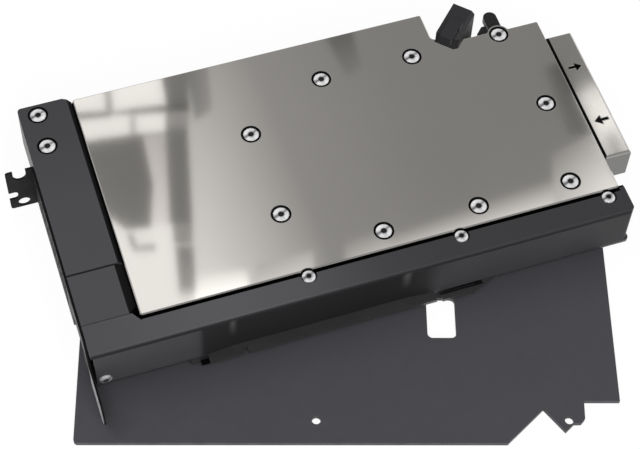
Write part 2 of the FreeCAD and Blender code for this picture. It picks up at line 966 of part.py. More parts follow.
def edge_contacts():
    """Gold contacts on the underside of the slot tongue, as one band either side of the key."""
    low = -board_low - tongue_reach + contact_inset
    bands = [
        (tongue_left + contact_end_inset, key_x - contact_key_gap),
        (key_x + key_width + contact_key_gap, tongue_right - contact_end_inset),
    ]
    return Part.makeCompound([
        box(x0, x1, low, low + contact_length, board_bottom - contact_thick, board_bottom)
        for x0, x1 in bands
    ])


def memory_places():
    """Memory chips as (x, y, size across X, size along Y): two columns and a row above."""
    places = []
    for side in (-1, 1):
        for k in (-1, 0, 1):
            places.append((gpu_x + side * memory_column, gpu_y + k * memory_pitch,
                           memory_width, memory_length))
        places.append((gpu_x + side * memory_row_offset, gpu_y + memory_row,
                       memory_length, memory_width))
    return places


def gpu_substrate():
    """Processor package."""
    return block_on_board(gpu_x, gpu_y, package_size, package_size, board_top, package_height)


def gpu_die():
    """Processor die."""
    return block_on_board(gpu_x, gpu_y, die_length, die_width, board_top + package_height, die_height)


def thermal_paste():
    """Layer between the die and its pedestal."""
    return block_on_board(gpu_x, gpu_y, die_length, die_width, die_face - paste_thick, paste_thick)


def memory_chips():
    """Memory chips round the processor."""
    return Part.makeCompound([block_on_board(x, y, across, along, board_top, memory_height)
                              for x, y, across, along in memory_places()])


def memory_pads():
    """Thermal pads on the memory chips."""
    return Part.makeCompound([
        block_on_board(x, y, across - 2 * pad_rim, along - 2 * pad_rim, memory_face - memory_pad,
                       memory_pad)
        for x, y, across, along in memory_places()
    ])


def power_stages():
    """Power stages of both supply columns."""
    return Part.makeCompound([
        block_on_board(x, first + phase_pitch * k, stage_width, stage_length, board_top, stage_height)
        for x, _, first, count in phase_columns for k in range(count)
    ])


def stage_pads():
    """One thermal pad strip on each column of power stages."""
    pads = []
    for x, _, first, count in phase_columns:
        span = phase_pitch * (count - 1)
        pads.append(block_on_board(x, first + span / 2.0, stage_width - 2 * pad_rim,
                                   span + stage_length - 2 * pad_rim, stage_face - stage_pad, stage_pad))
    return Part.makeCompound(pads)


def chokes():
    """Chokes beside the power stages."""
    return Part.makeCompound([
        block_on_board(x, first + phase_pitch * k, choke_size, choke_size, board_top, choke_height)
        for _, x, first, count in phase_columns for k in range(count)
    ])


def choke_pads():
    """Thermal pad strip on each column of chokes."""
    pads = []
    for _, x, first, count in phase_columns:
        span = phase_pitch * (count - 1)
        pads.append(block_on_board(x, first + span / 2.0, choke_size - 2 * pad_rim,
                                   span + choke_size - 2 * pad_rim, board_top + choke_height,
                                   standoff_height - choke_height))
    return Part.makeCompound(pads)


def capacitors():
    """Moulded capacitors beside the right column of chokes."""
    x = right_phase_x + capacitor_reach
    return Part.makeCompound([
        block_on_board(x, capacitor_first + capacitor_pitch * k, capacitor_width, capacitor_length,
                       board_top, capacitor_height)
        for k in range(capacitor_count)
    ])


def rear_capacitors():
    """Grid of small capacitors behind the processor."""
    start = -(rear_grid - 1) / 2.0 * rear_pitch
    return Part.makeCompound([
        block_on_board(gpu_x + start + rear_pitch * i, gpu_y + start + rear_pitch * j,
                       rear_capacitor_length, rear_capacitor_width,
                       board_bottom - rear_capacitor_height, rear_capacitor_height)
        for i in range(rear_grid) for j in range(rear_grid)
    ])


def standoffs():
    """Hexagonal spacers between the board and the cold plate."""
    return Part.makeCompound([hexagon(x, y, board_top, cold_bottom, standoff_width)
                              for x, y in standoff_points])


def board_screws():
    """Hexagon-headed screws from behind the board, one at each spacer, post and boss."""
    places = standoff_points + left_screw_points + [lower_boss]
    return Part.makeCompound([
        hexagon(x, y, board_bottom - board_head_height, board_bottom, board_head_width)
        for x, y in places
    ])


def beside_connector(s, t):
    """Plan position of a point s along the connector and t to its left."""
    turn = math.radians(connector_turn)
    x = connector_x + s * math.cos(turn) - t * math.sin(turn)
    y = connector_y + s * math.sin(turn) + t * math.cos(turn)
    return (x, y)


def connector_slab(corners, z0, z1):
    """Slab whose corners are given along and across the connector."""
    return slab([beside_connector(s, t) for s, t in corners], z0, z1)


def connector_corners(gap):
    """Plan outline of the connector housing, grown by a gap."""
    near = -gap
    far = connector_length + gap
    left = connector_left + gap
    right = -connector_right - gap
    return [
        (near, left), (near, right + connector_chamfer),
        (near + connector_chamfer, right), (far, right), (far, left),
    ]


def pin_places():
    """Middles of the connector's cells as (t, z)."""
    middle_t = (connector_left - connector_right) / 2.0
    middle_z = (connector_top - connector_bottom) / 2.0
    return [(middle_t + pin_pitch * (column - 0.5), middle_z + pin_pitch * (row - (pin_rows - 1) / 2.0))
            for column in (0, 1) for row in range(pin_rows)]


def power_connector():
    """Header standing in the notch, with its latch, its cells and its foot on the board."""
    right = -connector_right
    above = connector_top + connector_top_chamfer
    body = connector_slab(connector_corners(0), -connector_bottom, connector_top)
    edge_cut = upright_sheet(
        [(right - cut_through, above), (right + connector_top_chamfer, above),
         (right + connector_top_chamfer, connector_top), (right, connector_top - connector_top_chamfer),
         (right - cut_through, connector_top - connector_top_chamfer)],
        -cut_through, connector_length + cut_through,
    )
    edge_cut.rotate(Vector(0, 0, 0), Vector(0, 0, 1), connector_turn)
    edge_cut.translate(Vector(connector_x, connector_y, 0))
    latch_top = connector_top + latch_height
    latch = connector_slab(
        [(-latch_start, latch_left), (-latch_start, -latch_right), (latch_step, -latch_right),
         (latch_step, -latch_wide), (latch_end, -latch_wide), (latch_end, latch_left)],
        connector_top - latch_root, latch_top,
    )
    lip = connector_slab(
        [(-latch_start, latch_left), (-latch_start, -latch_right), (latch_lip, -latch_right),
         (latch_lip, latch_left)],
        connector_top - latch_lip_drop, latch_top,
    )
    foot = connector_slab(
        [(foot_start, foot_left), (foot_start, -foot_right), (foot_end, -foot_right),
         (foot_end, foot_left)],
        board_top, -connector_bottom + foot_lap,
    )
    body = join([body.cut(edge_cut), latch, lip, foot])
    half = cell_size / 2.0
    cells = [
        connector_slab(
            [(connector_length - cell_depth, t - half), (connector_length + cut_through, t - half),
             (connector_length + cut_through, t + half), (connector_length - cell_depth, t + half)],
            z - half, z + half,
        )
        for t, z in pin_places()
    ]
    return cut(body, cells)


def connector_contacts():
    """Square contacts standing in the connector's cells."""
    floor = connector_length - cell_depth
    half = pin_size / 2.0
    return Part.makeCompound([
        connector_slab([(floor, t - half), (floor + pin_length, t - half),
                        (floor + pin_length, t + half), (floor, t + half)], z - half, z + half)
        for t, z in pin_places()
    ])


def arm_root(gap, z0, z1):
    """Pocket of the cold plate that takes the arm's root under the tab."""
    left = tab_x - arm_root_before - gap
    right = tab_x + arm_root_after + gap
    low = tab_y - arm_root_drop - gap
    high = notch_floor_right + arm_pocket_lap
    return slab([(left, low, arm_root_radius), (right, low, arm_root_radius), (right, high),
                 (left, high)], z0, z1)


def connector_arm():
    """Round-ended arm that reaches out beside the connector, with a small lug at its root."""
    low = plate_bottom - arm_thick
    root_left = tab_x - arm_root_before
    root_low = tab_y - arm_root_drop
    root = oblong(root_left, tab_x + arm_root_after, root_low, notch_floor_right + arm_root_lap,
                  arm_root_radius, low, plate_bottom)
    left = tab_x + arm_offset - arm_half_width
    right = tab_x + arm_offset + arm_half_width
    start = root_low + arm_start
    tip = tab_y + arm_reach - arm_half_width
    arm = join([
        box(left, right, start, tip, low, plate_bottom),
        post(tab_x + arm_offset, tip, low, plate_bottom, arm_half_width),
    ])
    lug_high = tab_y + arm_lug_reach
    lug_left = root_left + arm_lug_gap
    lug = slab([(lug_left, start), (left + arm_lug_lap, start), (left - arm_lug_lean, lug_high),
                (left - arm_lug_lean - arm_lug_tip, lug_high), (lug_left, lug_high - arm_lug_slope)],
               low, plate_bottom)
    return join([root, arm, lug])


def backplate():
    """Flat backplate, with its stepped right corner, its window and its screw holes."""
    low = table_top - backplate_thick
    length = backplate_length
    ear = [(length - x, y) for x, y in backplate_ear]
    corner = backplate_corner_radius
    body = slab(
        [(0, 0, corner)] + ear
        + [(length - backplate_step_inset, backplate_step), (length, backplate_step),
           (length, backplate_height, corner), (0, backplate_height, corner)],
        low, table_top,
    )
    tools = [oblong(window_left, window_left + window_length, window_low, window_low + window_height,
                    window_radius, low - cut_through, table_top + cut_through)]
    holes = [(backplate_left_hole_x, backplate_left_hole_y),
             (length - backplate_ear_hole_inset, backplate_ear_hole_y)]
    tools += [post(x, y, low - cut_through, table_top + cut_through, backplate_hole) for x, y in holes]
    body = cut(body, tools)
    body.rotate(Vector(0, 0, 0), Vector(0, 0, 1), -backplate_turn)
    body.translate(Vector(-backplate_before, -backplate_below, 0))
    return body


PIECES = [
    cover_plate, chamber_gasket, cold_plate, jet_plate, terminal_block, terminal_gasket,
    terminal_screws, cover_plate_screws, left_cover_upper, left_cover_lower, left_cover_screws,
    cover_posts, bottom_cover, edge_screws, side_screw, io_bracket, bracket_screws, board,
    edge_contacts, gpu_substrate, gpu_die, thermal_paste, memory_chips, memory_pads, power_stages,
    stage_pads, chokes, choke_pads, capacitors, rear_capacitors, standoffs, board_screws,
    power_connector, connector_contacts, connector_arm, backplate,
]

parts = {piece.__name__: piece() for piece in PIECES}
whole = Part.makeCompound(list(parts.values())).optimalBoundingBox(False)
base_middle = Vector((whole.XMin + whole.XMax) / 2.0, (whole.YMin + whole.YMax) / 2.0, whole.ZMin)

os.makedirs("parts", exist_ok=True)
for name, shape in parts.items():
    shape.translate(base_middle * -1)
    shape.exportStep(os.path.join("parts", name + ".step"))
    print(name, len(shape.Solids), "solids", "valid" if shape.isValid() else "INVALID")
print("block corner in the model's frame:", [round(value, 3) for value in base_middle * -1])
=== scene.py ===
"""Looks of the graphics card water block: finishes, fine pieces, studio light and camera."""

import math

import bmesh
import bpy
from mathutils import Matrix, Vector


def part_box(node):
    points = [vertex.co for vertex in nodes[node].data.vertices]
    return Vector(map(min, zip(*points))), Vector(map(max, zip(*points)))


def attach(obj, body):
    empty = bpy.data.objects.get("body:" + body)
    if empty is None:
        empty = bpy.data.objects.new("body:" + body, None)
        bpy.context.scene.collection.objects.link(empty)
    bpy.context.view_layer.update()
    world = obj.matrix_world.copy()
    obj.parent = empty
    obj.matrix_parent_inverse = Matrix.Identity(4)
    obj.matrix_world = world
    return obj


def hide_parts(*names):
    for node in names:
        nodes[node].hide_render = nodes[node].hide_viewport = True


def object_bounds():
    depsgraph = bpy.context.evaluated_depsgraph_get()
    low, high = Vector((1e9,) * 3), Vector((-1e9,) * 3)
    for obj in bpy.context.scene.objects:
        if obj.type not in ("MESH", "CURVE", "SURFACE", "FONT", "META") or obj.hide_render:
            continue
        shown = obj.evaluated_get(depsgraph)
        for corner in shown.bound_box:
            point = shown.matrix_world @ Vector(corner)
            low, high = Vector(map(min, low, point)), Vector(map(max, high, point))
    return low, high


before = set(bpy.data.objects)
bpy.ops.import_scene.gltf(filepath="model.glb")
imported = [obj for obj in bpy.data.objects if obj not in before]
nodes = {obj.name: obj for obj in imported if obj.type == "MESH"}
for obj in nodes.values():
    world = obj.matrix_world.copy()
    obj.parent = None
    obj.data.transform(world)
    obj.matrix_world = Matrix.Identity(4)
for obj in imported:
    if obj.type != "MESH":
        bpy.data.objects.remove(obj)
cad_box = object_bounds()

MM = 0.001

# The cover plate's lower left top corner is where every place below is measured from
plate_low, plate_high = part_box("cover_plate")
plate_corner = Vector((plate_low.x, plate_low.y, plate_high.z))
floor_level = cad_box[0][2]

# Places and sizes of the fine pieces, in millimetres from that corner
PLATE_SCREWS = [
    (62.9, 66.0), (97.8, 83.6), (136.5, 83.7), (174.5, 84.0), (180.0, 45.8),
    (175.0, 8.1), (136.7, 8.0), (98.0, 8.1), (62.9, 26.9),
]
LEFT_COVER_SCREWS = [(-14.6, 99.6), (-14.6, 84.1)]
PORTS = [32.0, 59.6]
TERMINAL_SCREWS = [18.6, 45.8, 72.4]
EDGE_SCREWS = [(64.5, -2.4), (125.6, -2.7), (186.4, -3.0)]
SCREW_SEAT = -2.2

# Board's edge: the key between its contacts, and the contacts' own sizes
KEY_START = 34.6
KEY_END = 37.3
CONTACT_WIDTH = 0.7
CONTACT_PITCH = 1.0
CONTACT_EDGE = 0.015

# Screw heads with their socket, and the part of the shank that is drawn
RECESSED_HEAD = {"radius": 3.18, "height": 2.2, "dome": 0.36, "shank": 1.5}
EDGE_HEAD = {"radius": 2.6, "height": 2.2, "dome": 0.6, "shank": 1.2, "length": 5.0, "socket": 1.7}
SIDE_HEAD = {"radius": 2.5, "height": 1.2, "dome": 0.7, "shank": 1.2, "length": 4.0, "socket": 1.7,
             "socket_depth": 0.8}
PORT_BLOCK_HEAD = {"radius": 3.3, "height": 2.0, "dome": 0.45, "shank": 1.5, "length": 8.0}
DOME_ANGLE = math.radians(62)
DOME_STEPS = 8
DOME_SHRINK = 0.64
TURNED_SIDES = 48
FIRST_TURN = 0.7
TURN_BETWEEN = 1.9
RIM_BREAK = 0.12
SOCKET_DROP = 0.02
UV_PER_METRE = 100
CENTRE_SHADE_REACH = 0.33

# Black rings round the recessed heads
RING_INNER = 3.22
RING_OUTER = 4.0
RING_TOP = 0.02
RING_EDGE = 0.1
RING_LIP = 0.12

# Threads of the ports, G1/4 at 1.337 mm pitch
THREAD_PITCH = 1.337
THREAD_TURNS = 6
THREAD_STEPS = 36
THREAD_SETBACK = 1.9
THREAD_PROFILE = [(0.0, 5.95), (0.5, 5.5), (0.72, 5.5), (1.22, 5.95)]

# Directions of the model, how squarely a face has to turn to one, and the colours laid over a
# finish, most of them painted shade, shadow and highlights
UP = (0, 0, 1)
TO_FRONT = (0, -1, 0)
TO_RIGHT = (1, 0, 0)
TO_LEFT = (-1, 0, 0)
SQUARE_ON = (0.85, 0.97)
LEVEL = (0.9, 0.98)
BEVEL_ROUGHNESS = 0.95
WALL_ROUGHNESS = 0.75
ARROW_BLACK_AND_SEAM_SHADOW = (0.006, 0.006, 0.006)
BEND_SHADE_BLACK = (0.008, 0.008, 0.009)
BEVEL_SHADE_BLACK = (0.003, 0.003, 0.003)
SHADOW_BLACK = (0.002, 0.002, 0.002)
TRACK_COLOUR = (0.034, 0.034, 0.035)
PAINTED_GLINT_GREY = (0.055, 0.055, 0.055)
TONGUE_LIGHT_GREY = (0.42, 0.42, 0.43)
FRONT_FACE_DARK = (0.19, 0.188, 0.183)
PAINTED_RIM_HIGHLIGHT = (0.97, 0.96, 0.94)


def spot(x, y, z=0.0):
    """Point of the model's frame from millimetres off the plate's corner."""
    return plate_corner + Vector((x, y, z)) * MM


# Finishes


class Finish:
    """Material built of nodes on the object's own coordinates."""

    def __init__(self, name, colour, roughness, metallic=0.0):
        self.material = bpy.data.materials.new(name)
        self.material.use_nodes = True
        self.tree = self.material.node_tree
        self.shader = self.tree.nodes["Principled BSDF"]
        self.set("Base Color", (*colour, 1.0))
        self.set("Roughness", roughness)
        self.set("Metallic", metallic)
        self.colour = colour
        self.roughness = roughness
        self.place = self.add("ShaderNodeTexCoord").outputs["Object"]
        self.normal = None

    def add(self, kind, **settings):
        """New node with its own settings."""
        node = self.tree.nodes.new(kind)
        for key, value in settings.items():
            setattr(node, key, value)
        return node

    def join(self, source, socket):
        """Link one socket to another."""
        self.tree.links.new(source, socket)

    def set(self, socket, value):
        """Give the shader's own socket a constant."""
        self.shader.inputs[socket].default_value = value

    def noise(self, scale, stretch=(1, 1, 1), detail=4.0, roughness=0.55):
        """Noise of one scale, drawn out along an axis by the stretch."""
        mapping = self.add("ShaderNodeMapping")
        mapping.inputs["Scale"].default_value = stretch
        self.join(self.place, mapping.inputs["Vector"])
        noise = self.add("ShaderNodeTexNoise")
        noise.inputs["Scale"].default_value = scale
        noise.inputs["Detail"].default_value = detail
        noise.inputs["Roughness"].default_value = roughness
        self.join(mapping.outputs["Vector"], noise.inputs["Vector"])
        return noise.outputs["Fac"]

    def span(self, source, low, high, source_low=0.35, source_high=0.65):
        """Value carried from one range to another and held there."""
        change = self.add("ShaderNodeMapRange")
        change.inputs["From Min"].default_value = source_low
        change.inputs["From Max"].default_value = source_high
        change.inputs["To Min"].default_value = low
        change.inputs["To Max"].default_value = high
        self.join(source, change.inputs["Value"])
        return change.outputs["Result"]

    def tint(self, source, spread, warm=0.0):
        """Colour varied about the base by a pattern."""
        mix = self.add("ShaderNodeMix", data_type="RGBA")
        dark = [c * (1 - spread) for c in self.colour]
        light = [c * (1 + spread) for c in self.colour]
        mix.inputs["A"].default_value = (dark[0] * (1 + warm), dark[1], dark[2] * (1 - warm), 1)
        mix.inputs["B"].default_value = (*light, 1)
        self.join(source, mix.inputs["Factor"])
        self.join(mix.outputs["Result"], self.shader.inputs["Base Color"])
        return mix.outputs["Result"]

    def facing(self, direction, low, high):
        """1 where the surface faces a direction of the model, 0 where it turns away."""
        product = self.add("ShaderNodeVectorMath", operation="DOT_PRODUCT")
        product.inputs[1].default_value = direction
        self.join(self.add("ShaderNodeNewGeometry").outputs["Normal"], product.inputs[0])
        return self.span(product.outputs["Value"], 0, 1, low, high)

    def both(self, first, second):
        """Where two masks meet."""
        meet = self.add("ShaderNodeMath", operation="MULTIPLY")
        self.join(first, meet.inputs[0])
        self.join(second, meet.inputs[1])
        return meet.outputs["Value"]

    def along(self, axis, stops):
        """Level that follows (place, level) stops on one axis, in millimetres from the corner."""
        split = self.add("ShaderNodeSeparateXYZ")
        self.join(self.place, split.inputs["Vector"])
        corner = plate_corner["XYZ".index(axis)]
        first = stops[0][0]
        reach = stops[-1][0] - first
        start = corner + first * MM
        where = self.span(split.outputs[axis], 0, 1, start, start + reach * MM)
        return self.ramp(where, [((place - first) / reach, level) for place, level in stops])

    def ramp(self, where, stops):
        """Level that follows (position, level) stops from 0 to 1."""
        ramp = self.add("ShaderNodeValToRGB")
        elements = ramp.color_ramp.elements
        for position, level in stops[1:-1]:
            elements.new(position)
        for element, (position, level) in zip(elements, stops):
            element.position = position
            element.color = (level, level, level, 1)
        self.join(where, ramp.inputs["Fac"])
        return ramp.outputs["Color"]

    def shade(self, under, levels, mask=None):
        """Colour so far multiplied by levels, within a mask if there is one."""
        mix = self.add("ShaderNodeMix", data_type="RGBA", blend_type="MULTIPLY")
        mix.inputs["Factor"].default_value = 1
        if mask is not None:
            self.join(mask, mix.inputs["Factor"])
        self.join(under, mix.inputs["A"])
        self.join(levels, mix.inputs["B"])
        self.join(mix.outputs["Result"], self.shader.inputs["Base Color"])
        return mix.outputs["Result"]

    def paint(self, under, mask, colour):
        """Another colour laid over the one so far where the mask is 1."""
        mix = self.add("ShaderNodeMix", data_type="RGBA")
        self.join(mask, mix.inputs["Factor"])
        self.join(under, mix.inputs["A"])
        mix.inputs["B"].default_value = (*colour, 1)
        self.join(mix.outputs["Result"], self.shader.inputs["Base Color"])
        return mix.outputs["Result"]

    def gloss(self, source, spread):
        """Roughness varied about its base by a pattern."""
        level = self.span(source, self.roughness * (1 - spread), self.roughness * (1 + spread))
        self.join(level, self.shader.inputs["Roughness"])

    def relief(self, source, depth, strength=1.0):
        """Fine height of the surface, in metres."""
        bump = self.add("ShaderNodeBump")
        bump.inputs["Distance"].default_value = depth
        bump.inputs["Strength"].default_value = strength
        self.join(source, bump.inputs["Height"])
        if self.normal is not None:
            self.join(self.normal, bump.inputs["Normal"])
        self.normal = bump.outputs["Normal"]
        self.join(self.normal, self.shader.inputs["Normal"])

    def soft_edges(self, radius):
        """Light catches on the edges as on a broken edge of this radius."""
        bevel = self.add("ShaderNodeBevel", samples=6)
        bevel.inputs["Radius"].default_value = radius
        self.normal = bevel.outputs["Normal"]
        self.join(self.normal, self.shader.inputs["Normal"])


def anodised(name, colour, roughness=0.42, edge=0.00035):
    """Bead-blasted and anodised metal, slightly uneven in gloss."""
    look = Finish(name, colour, roughness)
    look.set("Specular IOR Level", 0.45)
    look.soft_edges(edge)
    clouds = look.noise(34, detail=3)
    look.painted = look.tint(clouds, 0.05)
    look.gloss(look.noise(180, detail=5), 0.16)
    look.relief(look.noise(5200, detail=2), 0.00001, 0.35)
    return look


def polished(name, colour, roughness, lines=(1, 22, 1), edge=0.00015):
    """Nickel plate lapped along one direction."""
    look = Finish(name, colour, roughness, metallic=1.0)
    look.soft_edges(edge)
    look.painted = look.tint(look.noise(26, detail=4), 0.03)
    strokes = look.noise(520, stretch=lines, detail=6, roughness=0.7)
    look.gloss(strokes, 0.22)
    look.relief(look.noise(16, detail=2), 0.000028, 0.16)
    look.relief(strokes, 0.0000016, 0.08)
    return look


def moulded(name, colour, roughness=0.5):
    """Moulded plastic with a fine spark-eroded grain."""
    look = Finish(name, colour, roughness)
    look.soft_edges(0.0002)
    look.tint(look.noise(60, detail=3), 0.08)
    grain = look.noise(2600, detail=3)
    look.gloss(grain, 0.12)
    look.relief(grain, 0.00002, 0.5)
    return look


def plain_metal(name, colour, roughness, scale=900):
    """Turned or rolled metal with fine marks."""
    look = Finish(name, colour, roughness, metallic=1.0)
    marks = look.noise(scale, detail=5, roughness=0.65)
    look.tint(marks, 0.06)
    look.gloss(marks, 0.25)
    look.relief(marks, 0.000004, 0.4)
    return look


def dull(name, colour, roughness, scale=700, spread=0.1):
    """Rubber, paste, ceramic and moulded epoxy."""
    look = Finish(name, colour, roughness)
    grain = look.noise(scale, detail=5)
    look.tint(grain, spread)
    look.gloss(grain, 0.1)
    look.relief(grain, 0.00002, 0.4)
    return look


# Painted reflection levels round a turned head: two dark wedges, as marks that run round it would
# show them
SCREW_PAINTED_SHEEN = [(0.0, 0.35), (0.04, 0.14), (0.11, 0.9), (0.28, 0.75), (0.36, 1.0), (0.52, 0.8),
               (0.575, 0.25), (0.64, 0.85), (0.8, 1.0), (0.94, 0.9), (1.0, 0.35)]
# Painted shade darkening a head towards its socket, by distance from its middle
SCREW_CENTRE_SHADE = [(0.0, 0.1), (0.28, 0.15), (0.46, 0.75), (0.62, 1.0), (0.88, 1.0), (1.0, 0.7)]


def turned_screw(name, colour, roughness):
    """Screw head whose turning marks run round it, from its own polar UV map, with painted
    reflection wedges and painted shade towards its socket.
    """
    look = Finish(name, colour, roughness, metallic=0.4)
    look.set("Anisotropic", 0.6)
    worn = look.tint(look.noise(1500, detail=3), 0.04)
    around = look.add("ShaderNodeUVMap", uv_map="round").outputs["UV"]
    split = look.add("ShaderNodeSeparateXYZ")
    look.join(around, split.inputs["Vector"])
    painted_sheen = look.shade(worn, look.ramp(look.span(split.outputs["X"], 0, 1, -0.5, 0.5), SCREW_PAINTED_SHEEN))
    look.shade(painted_sheen, look.ramp(look.span(split.outputs["Y"], 0, 1, 0.0, CENTRE_SHADE_REACH), SCREW_CENTRE_SHADE))
    round_it = look.add("ShaderNodeTangent", direction_type="UV_MAP", uv_map="round")
    look.join(round_it.outputs["Tangent"], look.shader.inputs["Tangent"])
    return look


plate_nickel = polished("plate_nickel", (0.62, 0.606, 0.584), 0.05, edge=0.0003)
block_nickel = polished("terminal_nickel", (0.62, 0.61, 0.585), 0.08, lines=(22, 1, 22),
                        edge=0.0005)
base_nickel = polished("cold_plate_nickel", (0.58, 0.565, 0.54), 0.27, lines=(1, 1, 26))
cover_black = anodised("cover_black", (0.036, 0.036, 0.0395))
bent_black = anodised("bent_cover_black", (0.036, 0.036, 0.039))
back_grey = anodised("backplate_black", (0.047, 0.047, 0.053), roughness=0.6)
bracket_black = anodised("bracket_black", (0.004, 0.004, 0.004), roughness=0.5, edge=0.0002)
bracket_black.set("Specular IOR Level", 0.15)
arm_black = anodised("arm_black", (0.009, 0.009, 0.0095))
header_black = moulded("connector_black", (0.016, 0.016, 0.018))
screw_bright = turned_screw("bright_screw", (0.93, 0.93, 0.94), 0.3)
# The side screw's finish is a dimmer copy of the bright screw finish
screw_dim = turned_screw("side_screw_dimmed", (0.5, 0.5, 0.51), 0.3)
screw_dark = plain_metal("rear_screw_black", (0.06, 0.06, 0.062), 0.35)
ring_and_gap_shadow_black = dull("ring_and_gap_shadow_black", (0.0015, 0.0015, 0.0015), 0.8)
ring_and_gap_shadow_black.set("Specular IOR Level", 0.1)
# The sockets' near-black is painted shade in the recess
socket_painted_shade = dull("socket_painted_shade", (0.02, 0.02, 0.02), 0.5)
steel = plain_metal("jet_plate_steel", (0.55, 0.55, 0.56), 0.28)
spacer_metal = plain_metal("spacer_nickel", (0.66, 0.64, 0.58), 0.3)
gasket_rubber = dull("gasket_rubber", (0.012, 0.012, 0.012), 0.6)
package_green = dull("package_green", (0.02, 0.06, 0.035), 0.45)
die_silicon = plain_metal("die_silicon", (0.2, 0.21, 0.23), 0.12)
paste_grey = dull("paste_grey", (0.35, 0.35, 0.34), 0.7)
chip_black = dull("chip_black", (0.02, 0.02, 0.021), 0.5)
pad_grey = dull("pad_grey", (0.30, 0.33, 0.36), 0.85)
choke_grey = dull("choke_grey", (0.06, 0.06, 0.062), 0.55)
can_metal = plain_metal("capacitor_can", (0.7, 0.7, 0.71), 0.3)
ceramic_tan = dull("ceramic_tan", (0.33, 0.24, 0.16), 0.5)
contact_tin = plain_metal("contact_tin", (0.72, 0.7, 0.66), 0.25)
contact_gold = plain_metal("contact_gold", (0.86, 0.62, 0.26), 0.2)

# Painted shade darkens the bevels beside the plate, and painted light lightens the tops towards the
# slot edge
top_painted_light = cover_black.along("Y", [(-2, 1.3), (50, 1.2), (104, 0.9)])
tops_with_painted_light = cover_black.shade(cover_black.painted, top_painted_light)
bevels = cover_black.facing(TO_RIGHT, 0.1, 0.25)
cover_black.paint(tops_with_painted_light, bevels, BEVEL_SHADE_BLACK)
cover_black.join(cover_black.span(bevels, cover_black.roughness, BEVEL_ROUGHNESS, 0, 1),
                 cover_black.shader.inputs["Roughness"])

# Painted light makes the bent cover's top lightest a third of the way along; painted shade darkens
# a line along its bend, its slot relief and the wall's far end
flange_light_levels = bent_black.along("X", [(-20, 1.4), (28, 1.85), (62, 1.6), (92, 0.95), (115, 0.78),
                                (192, 0.75)])
flange_with_painted_light = bent_black.shade(bent_black.painted, flange_light_levels, bent_black.facing(UP, 0.75, 0.95))
# Painted shade along the front wall, darkest in the slot relief
relief_painted_shade = bent_black.along("X", [(14, 1.15), (18.4, 1.05), (20.8, 0.3), (34, 0.25), (103, 0.2),
                                     (109, 0.3), (115, 0.85), (122, 1.0), (165, 0.95), (186, 0.6)])
wall_with_painted_shade = bent_black.shade(flange_with_painted_light, relief_painted_shade, bent_black.facing(TO_FRONT, *SQUARE_ON))
wall = bent_black.facing(TO_FRONT, 0.6, 0.9)
bent_black.join(bent_black.span(wall, bent_black.roughness, WALL_ROUGHNESS, 0, 1),
                bent_black.shader.inputs["Roughness"])
# Painted shade along one line of the bend
bend_shade_mask = bent_black.both(bent_black.facing(TO_FRONT, 0.4, 0.75), bent_black.facing(UP, 0.02, 0.1))
wall_with_painted_shade = bent_black.paint(wall_with_painted_shade, bend_shade_mask, BEND_SHADE_BLACK)

# Painted glints at the two ends of the slot relief
for left, right in ((30.2, 34.0), (98.8, 103.4)):
    middle = (left + right) / 2
    painted_glint = bent_black.both(
        bent_black.both(bent_black.along("X", [(left, 0.0), (middle, 1.0), (right, 0.0)]),
                        bent_black.along("Z", [(-14, 0.0), (-9, 0.5), (-4, 1.0), (-2.4, 0.5)])),
        bent_black.facing(TO_FRONT, *SQUARE_ON))
    wall_with_painted_shade = bent_black.paint(wall_with_painted_shade, painted_glint, PAINTED_GLINT_GREY)

# The bracket's tongue is painted light grey along its outer face
tongue = bracket_black.along("Y", [(-31, 1.0), (-12, 1.0), (-9, 0.05), (104, 0.03)])
tongue_light_mask = bracket_black.both(bracket_black.facing(TO_LEFT, 0.8, 0.95), tongue)
bracket_black.paint(bracket_black.painted, tongue_light_mask, TONGUE_LIGHT_GREY)

# The port block's front-facing faces are painted darker, and the floors of its engraved arrows are
# painted black
block_low, block_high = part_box("terminal_block")
block_left = (block_low.x - plate_corner.x) / MM
block_right = (block_high.x - plate_corner.x) / MM
block_top = (block_high.z - plate_corner.z) / MM
front_darkened = block_nickel.paint(block_nickel.painted, block_nickel.facing(TO_FRONT, 0.8, 0.95),
                            FRONT_FACE_DARK)
sunk = block_nickel.both(block_nickel.facing(UP, *LEVEL),
                         block_nickel.along("Z", [(block_top - 3, 1.0), (block_top - 0.12, 1.0),
                                                  (block_top - 0.06, 0.0), (block_top + 1, 0.0)]))
marked = block_nickel.paint(front_darkened, sunk, ARROW_BLACK_AND_SEAM_SHADOW)

# Painted shadow makes a black seam along the plate on the port block's top, and a painted highlight
# makes a bright rim on its far side
SEAM_FULL = 0.4
SEAM_FADED = 0.55
RIM_FULL = 0.5
RIM_FADED = 0.65
topside = block_nickel.facing(UP, *LEVEL)
seam_shadow = block_nickel.along("X", [(block_left, 1.0), (block_left + SEAM_FULL, 1.0),
                                (block_left + SEAM_FADED, 0.0)])
seamed = block_nickel.paint(marked, block_nickel.both(topside, seam_shadow), ARROW_BLACK_AND_SEAM_SHADOW)
rim_highlight = block_nickel.along("X", [(block_right - RIM_FADED, 0.0), (block_right - RIM_FULL, 1.0)])
block_nickel.paint(seamed, block_nickel.both(topside, rim_highlight), PAINTED_RIM_HIGHLIGHT)

# Painted highlight along the plate's right edge
plate_rim_highlight = plate_nickel.both(plate_nickel.along("X", [(191.75, 0.0), (191.95, 1.0)]),
                              plate_nickel.facing(UP, 0.5, 0.7))
plate_nickel.paint(plate_nickel.painted, plate_rim_highlight, PAINTED_RIM_HIGHLIGHT)


